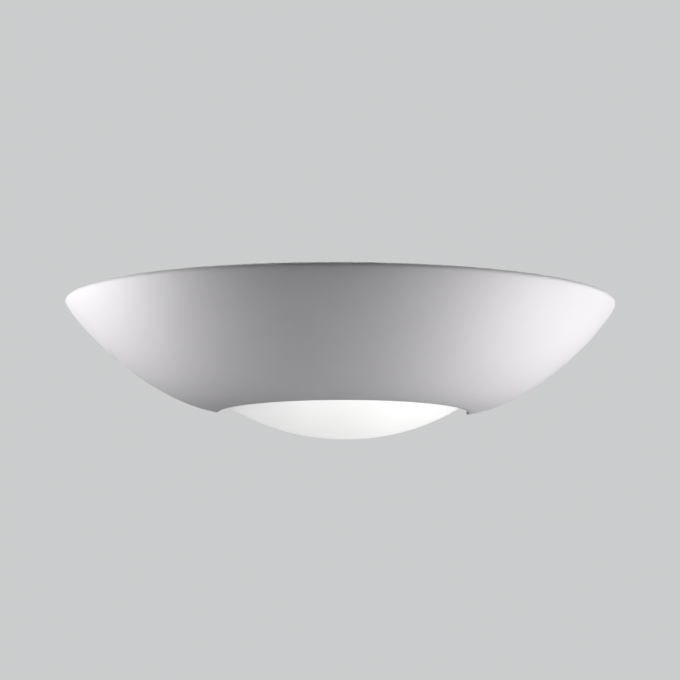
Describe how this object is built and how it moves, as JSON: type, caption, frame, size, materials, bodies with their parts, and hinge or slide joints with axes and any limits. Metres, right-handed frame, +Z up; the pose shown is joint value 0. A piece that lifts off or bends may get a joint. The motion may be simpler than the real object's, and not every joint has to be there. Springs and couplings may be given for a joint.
{
  "type": "uplighter wall sconce",
  "caption": "Half-bowl matt white ceramic wall light that lights up and down, with a frosted glass dish below, on a steel wall plate with a linear lamp.",
  "frame": {"origin": "midway between the two wall screw slots, on the wall plane", "axes": "+X along the wall to the right as seen from the room, +Y into the wall, +Z up"},
  "size_m": [0.4, 0.14, 0.1007],
  "materials": {
    "bisque": "matt, slip-cast",
    "opal_glass": "sand-blasted opal",
    "zinc_steel": "zinc-plated, satin",
    "plate_steel": "powder-coated white",
    "bright_aluminium": "anodised, bright",
    "steatite": "matt, pressed",
    "quartz": "clear",
    "tungsten": "drawn",
    "brass": "bright",
    "nickel": "nickel-plated",
    "silicone": "matt",
    "block_nylon": "moulded",
    "sleeve_brown": "glass-fibre sleeving",
    "sleeve_blue": "glass-fibre sleeving",
    "sleeve_green": "glass-fibre sleeving, green with yellow"
  },
  "bodies": {
    "wall_mount": {"wall_plate": "plate_steel", "cable_bush": "silicone", "lamp_bracket": "zinc_steel", "reflector": "bright_aluminium", "reflector_spacers": "bright_aluminium", "reflector_screws": "zinc_steel", "lampholder_right": "steatite", "lampholder_left": "steatite", "holder_screws": "zinc_steel", "holder_nuts": "zinc_steel", "contact_spring_right": "nickel", "contact_spring_left": "nickel", "lead_sleeve_right": "brass", "lead_sleeve_left": "brass", "terminal_block": "block_nylon", "terminal_tubes": "brass", "clamp_screws": "zinc_steel", "block_screws": "zinc_steel", "lead_live": "sleeve_brown", "lead_neutral": "sleeve_blue", "lead_earth": "sleeve_green", "earth_tag": "nickel", "earth_washer": "zinc_steel", "earth_screw": "brass"},
    "shell": {"ceramic_shell": "bisque", "shell_studs": "zinc_steel", "glass_diffuser": "opal_glass", "glass_seal": "silicone", "glass_clips": "nickel", "clip_screws": "zinc_steel"},
    "nut_right": {"thumb_nut_right": "brass"},
    "nut_left": {"thumb_nut_left": "brass"},
    "lamp": {"quartz_tube": "quartz", "lamp_caps": "steatite", "lamp_contacts": "nickel", "filament": "tungsten"},
    "pin_right": {"contact_pin_right": "nickel"},
    "pin_left": {"contact_pin_left": "nickel"}
  },
  "joints": [
    {"name": "shell_off", "type": "slide", "parent": "wall_mount", "child": "shell", "axis": [0, -0.9781, 0.2079], "range_m": [0, 0.15]},
    {"name": "nut_right_turn", "type": "hinge", "parent": "shell", "child": "nut_right", "pos_m": [0.135, -0.02, 0], "axis": [1, 0, 0], "range_deg": [0, 540]},
    {"name": "nut_left_turn", "type": "hinge", "parent": "shell", "child": "nut_left", "pos_m": [-0.135, -0.02, 0], "axis": [1, 0, 0], "range_deg": [-540, 0]},
    {"name": "lamp_push", "type": "slide", "parent": "wall_mount", "child": "lamp", "axis": [1, 0, 0], "range_m": [-0.0038, 0.0038], "stiffness_N_per_m": 3000},
    {"name": "pin_right_slide", "type": "slide", "parent": "wall_mount", "child": "pin_right", "axis": [1, 0, 0], "range_m": [-0.0038, 0.0038], "deforming": ["contact_spring_right"]},
    {"name": "pin_left_slide", "type": "slide", "parent": "wall_mount", "child": "pin_left", "axis": [1, 0, 0], "range_m": [-0.0038, 0.0038], "deforming": ["contact_spring_left"]}
  ],
  "couplings": [
    {"joint": "pin_right_slide", "follows": "lamp_push", "ratio": 1},
    {"joint": "pin_left_slide", "follows": "lamp_push", "ratio": 1}
  ]
}
